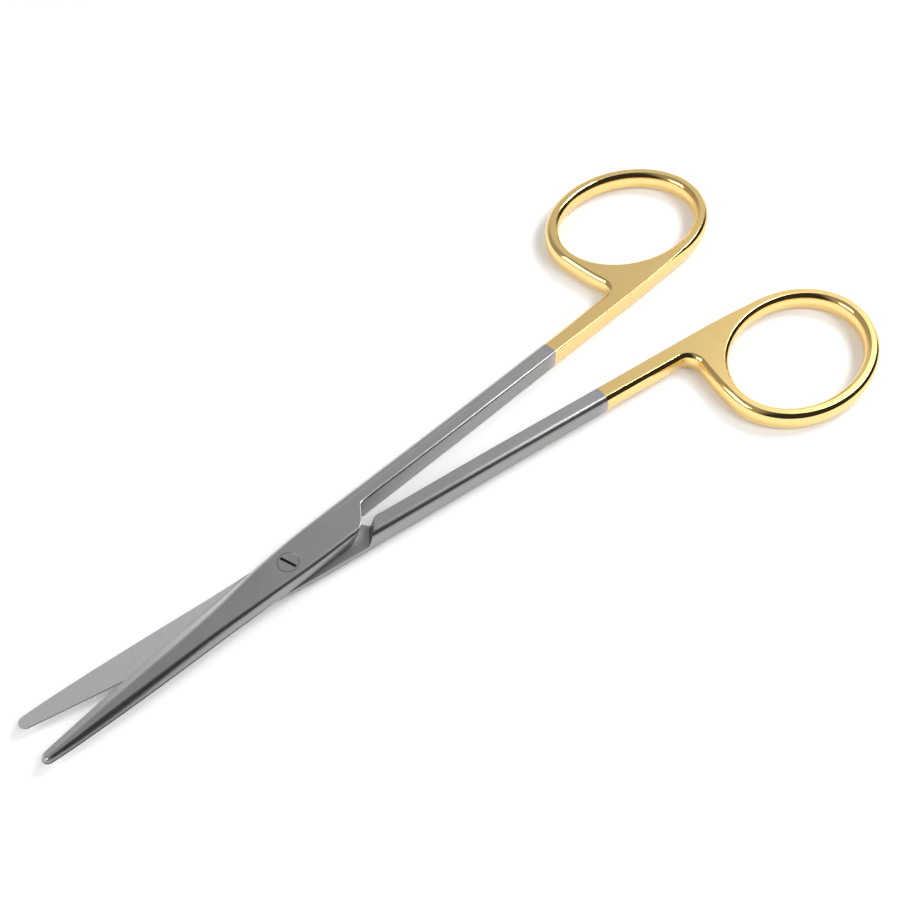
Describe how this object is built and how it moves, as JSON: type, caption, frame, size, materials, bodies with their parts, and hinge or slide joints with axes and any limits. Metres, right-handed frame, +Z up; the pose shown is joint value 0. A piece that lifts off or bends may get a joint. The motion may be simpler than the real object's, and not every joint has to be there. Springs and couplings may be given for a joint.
{
  "type": "dissecting scissors",
  "caption": "Straight dissecting scissors with a lap joint, slotted pivot screw and oval finger rings, resting slightly open.",
  "frame": {"origin": "on the pivot axis, in the plane that the scissors rest on", "axes": "+X from the pivot towards the finger rings, half way between the two shanks; +Z up along the pivot screw, out of its slotted head"},
  "size_m": [0.1802, 0.0798, 0.0051],
  "materials": {
    "steel": "satin",
    "screw_steel": "satin"
  },
  "bodies": {
    "lower_blade": {"lower_half": "steel", "pivot_screw": "screw_steel"},
    "upper_blade": {"upper_half": "steel"}
  },
  "joints": [
    {"name": "pivot", "type": "hinge", "parent": "lower_blade", "child": "upper_blade", "pos_m": [0, 0, 0], "axis": [0, 0, 1], "range_deg": [-9.4, 110]}
  ]
}
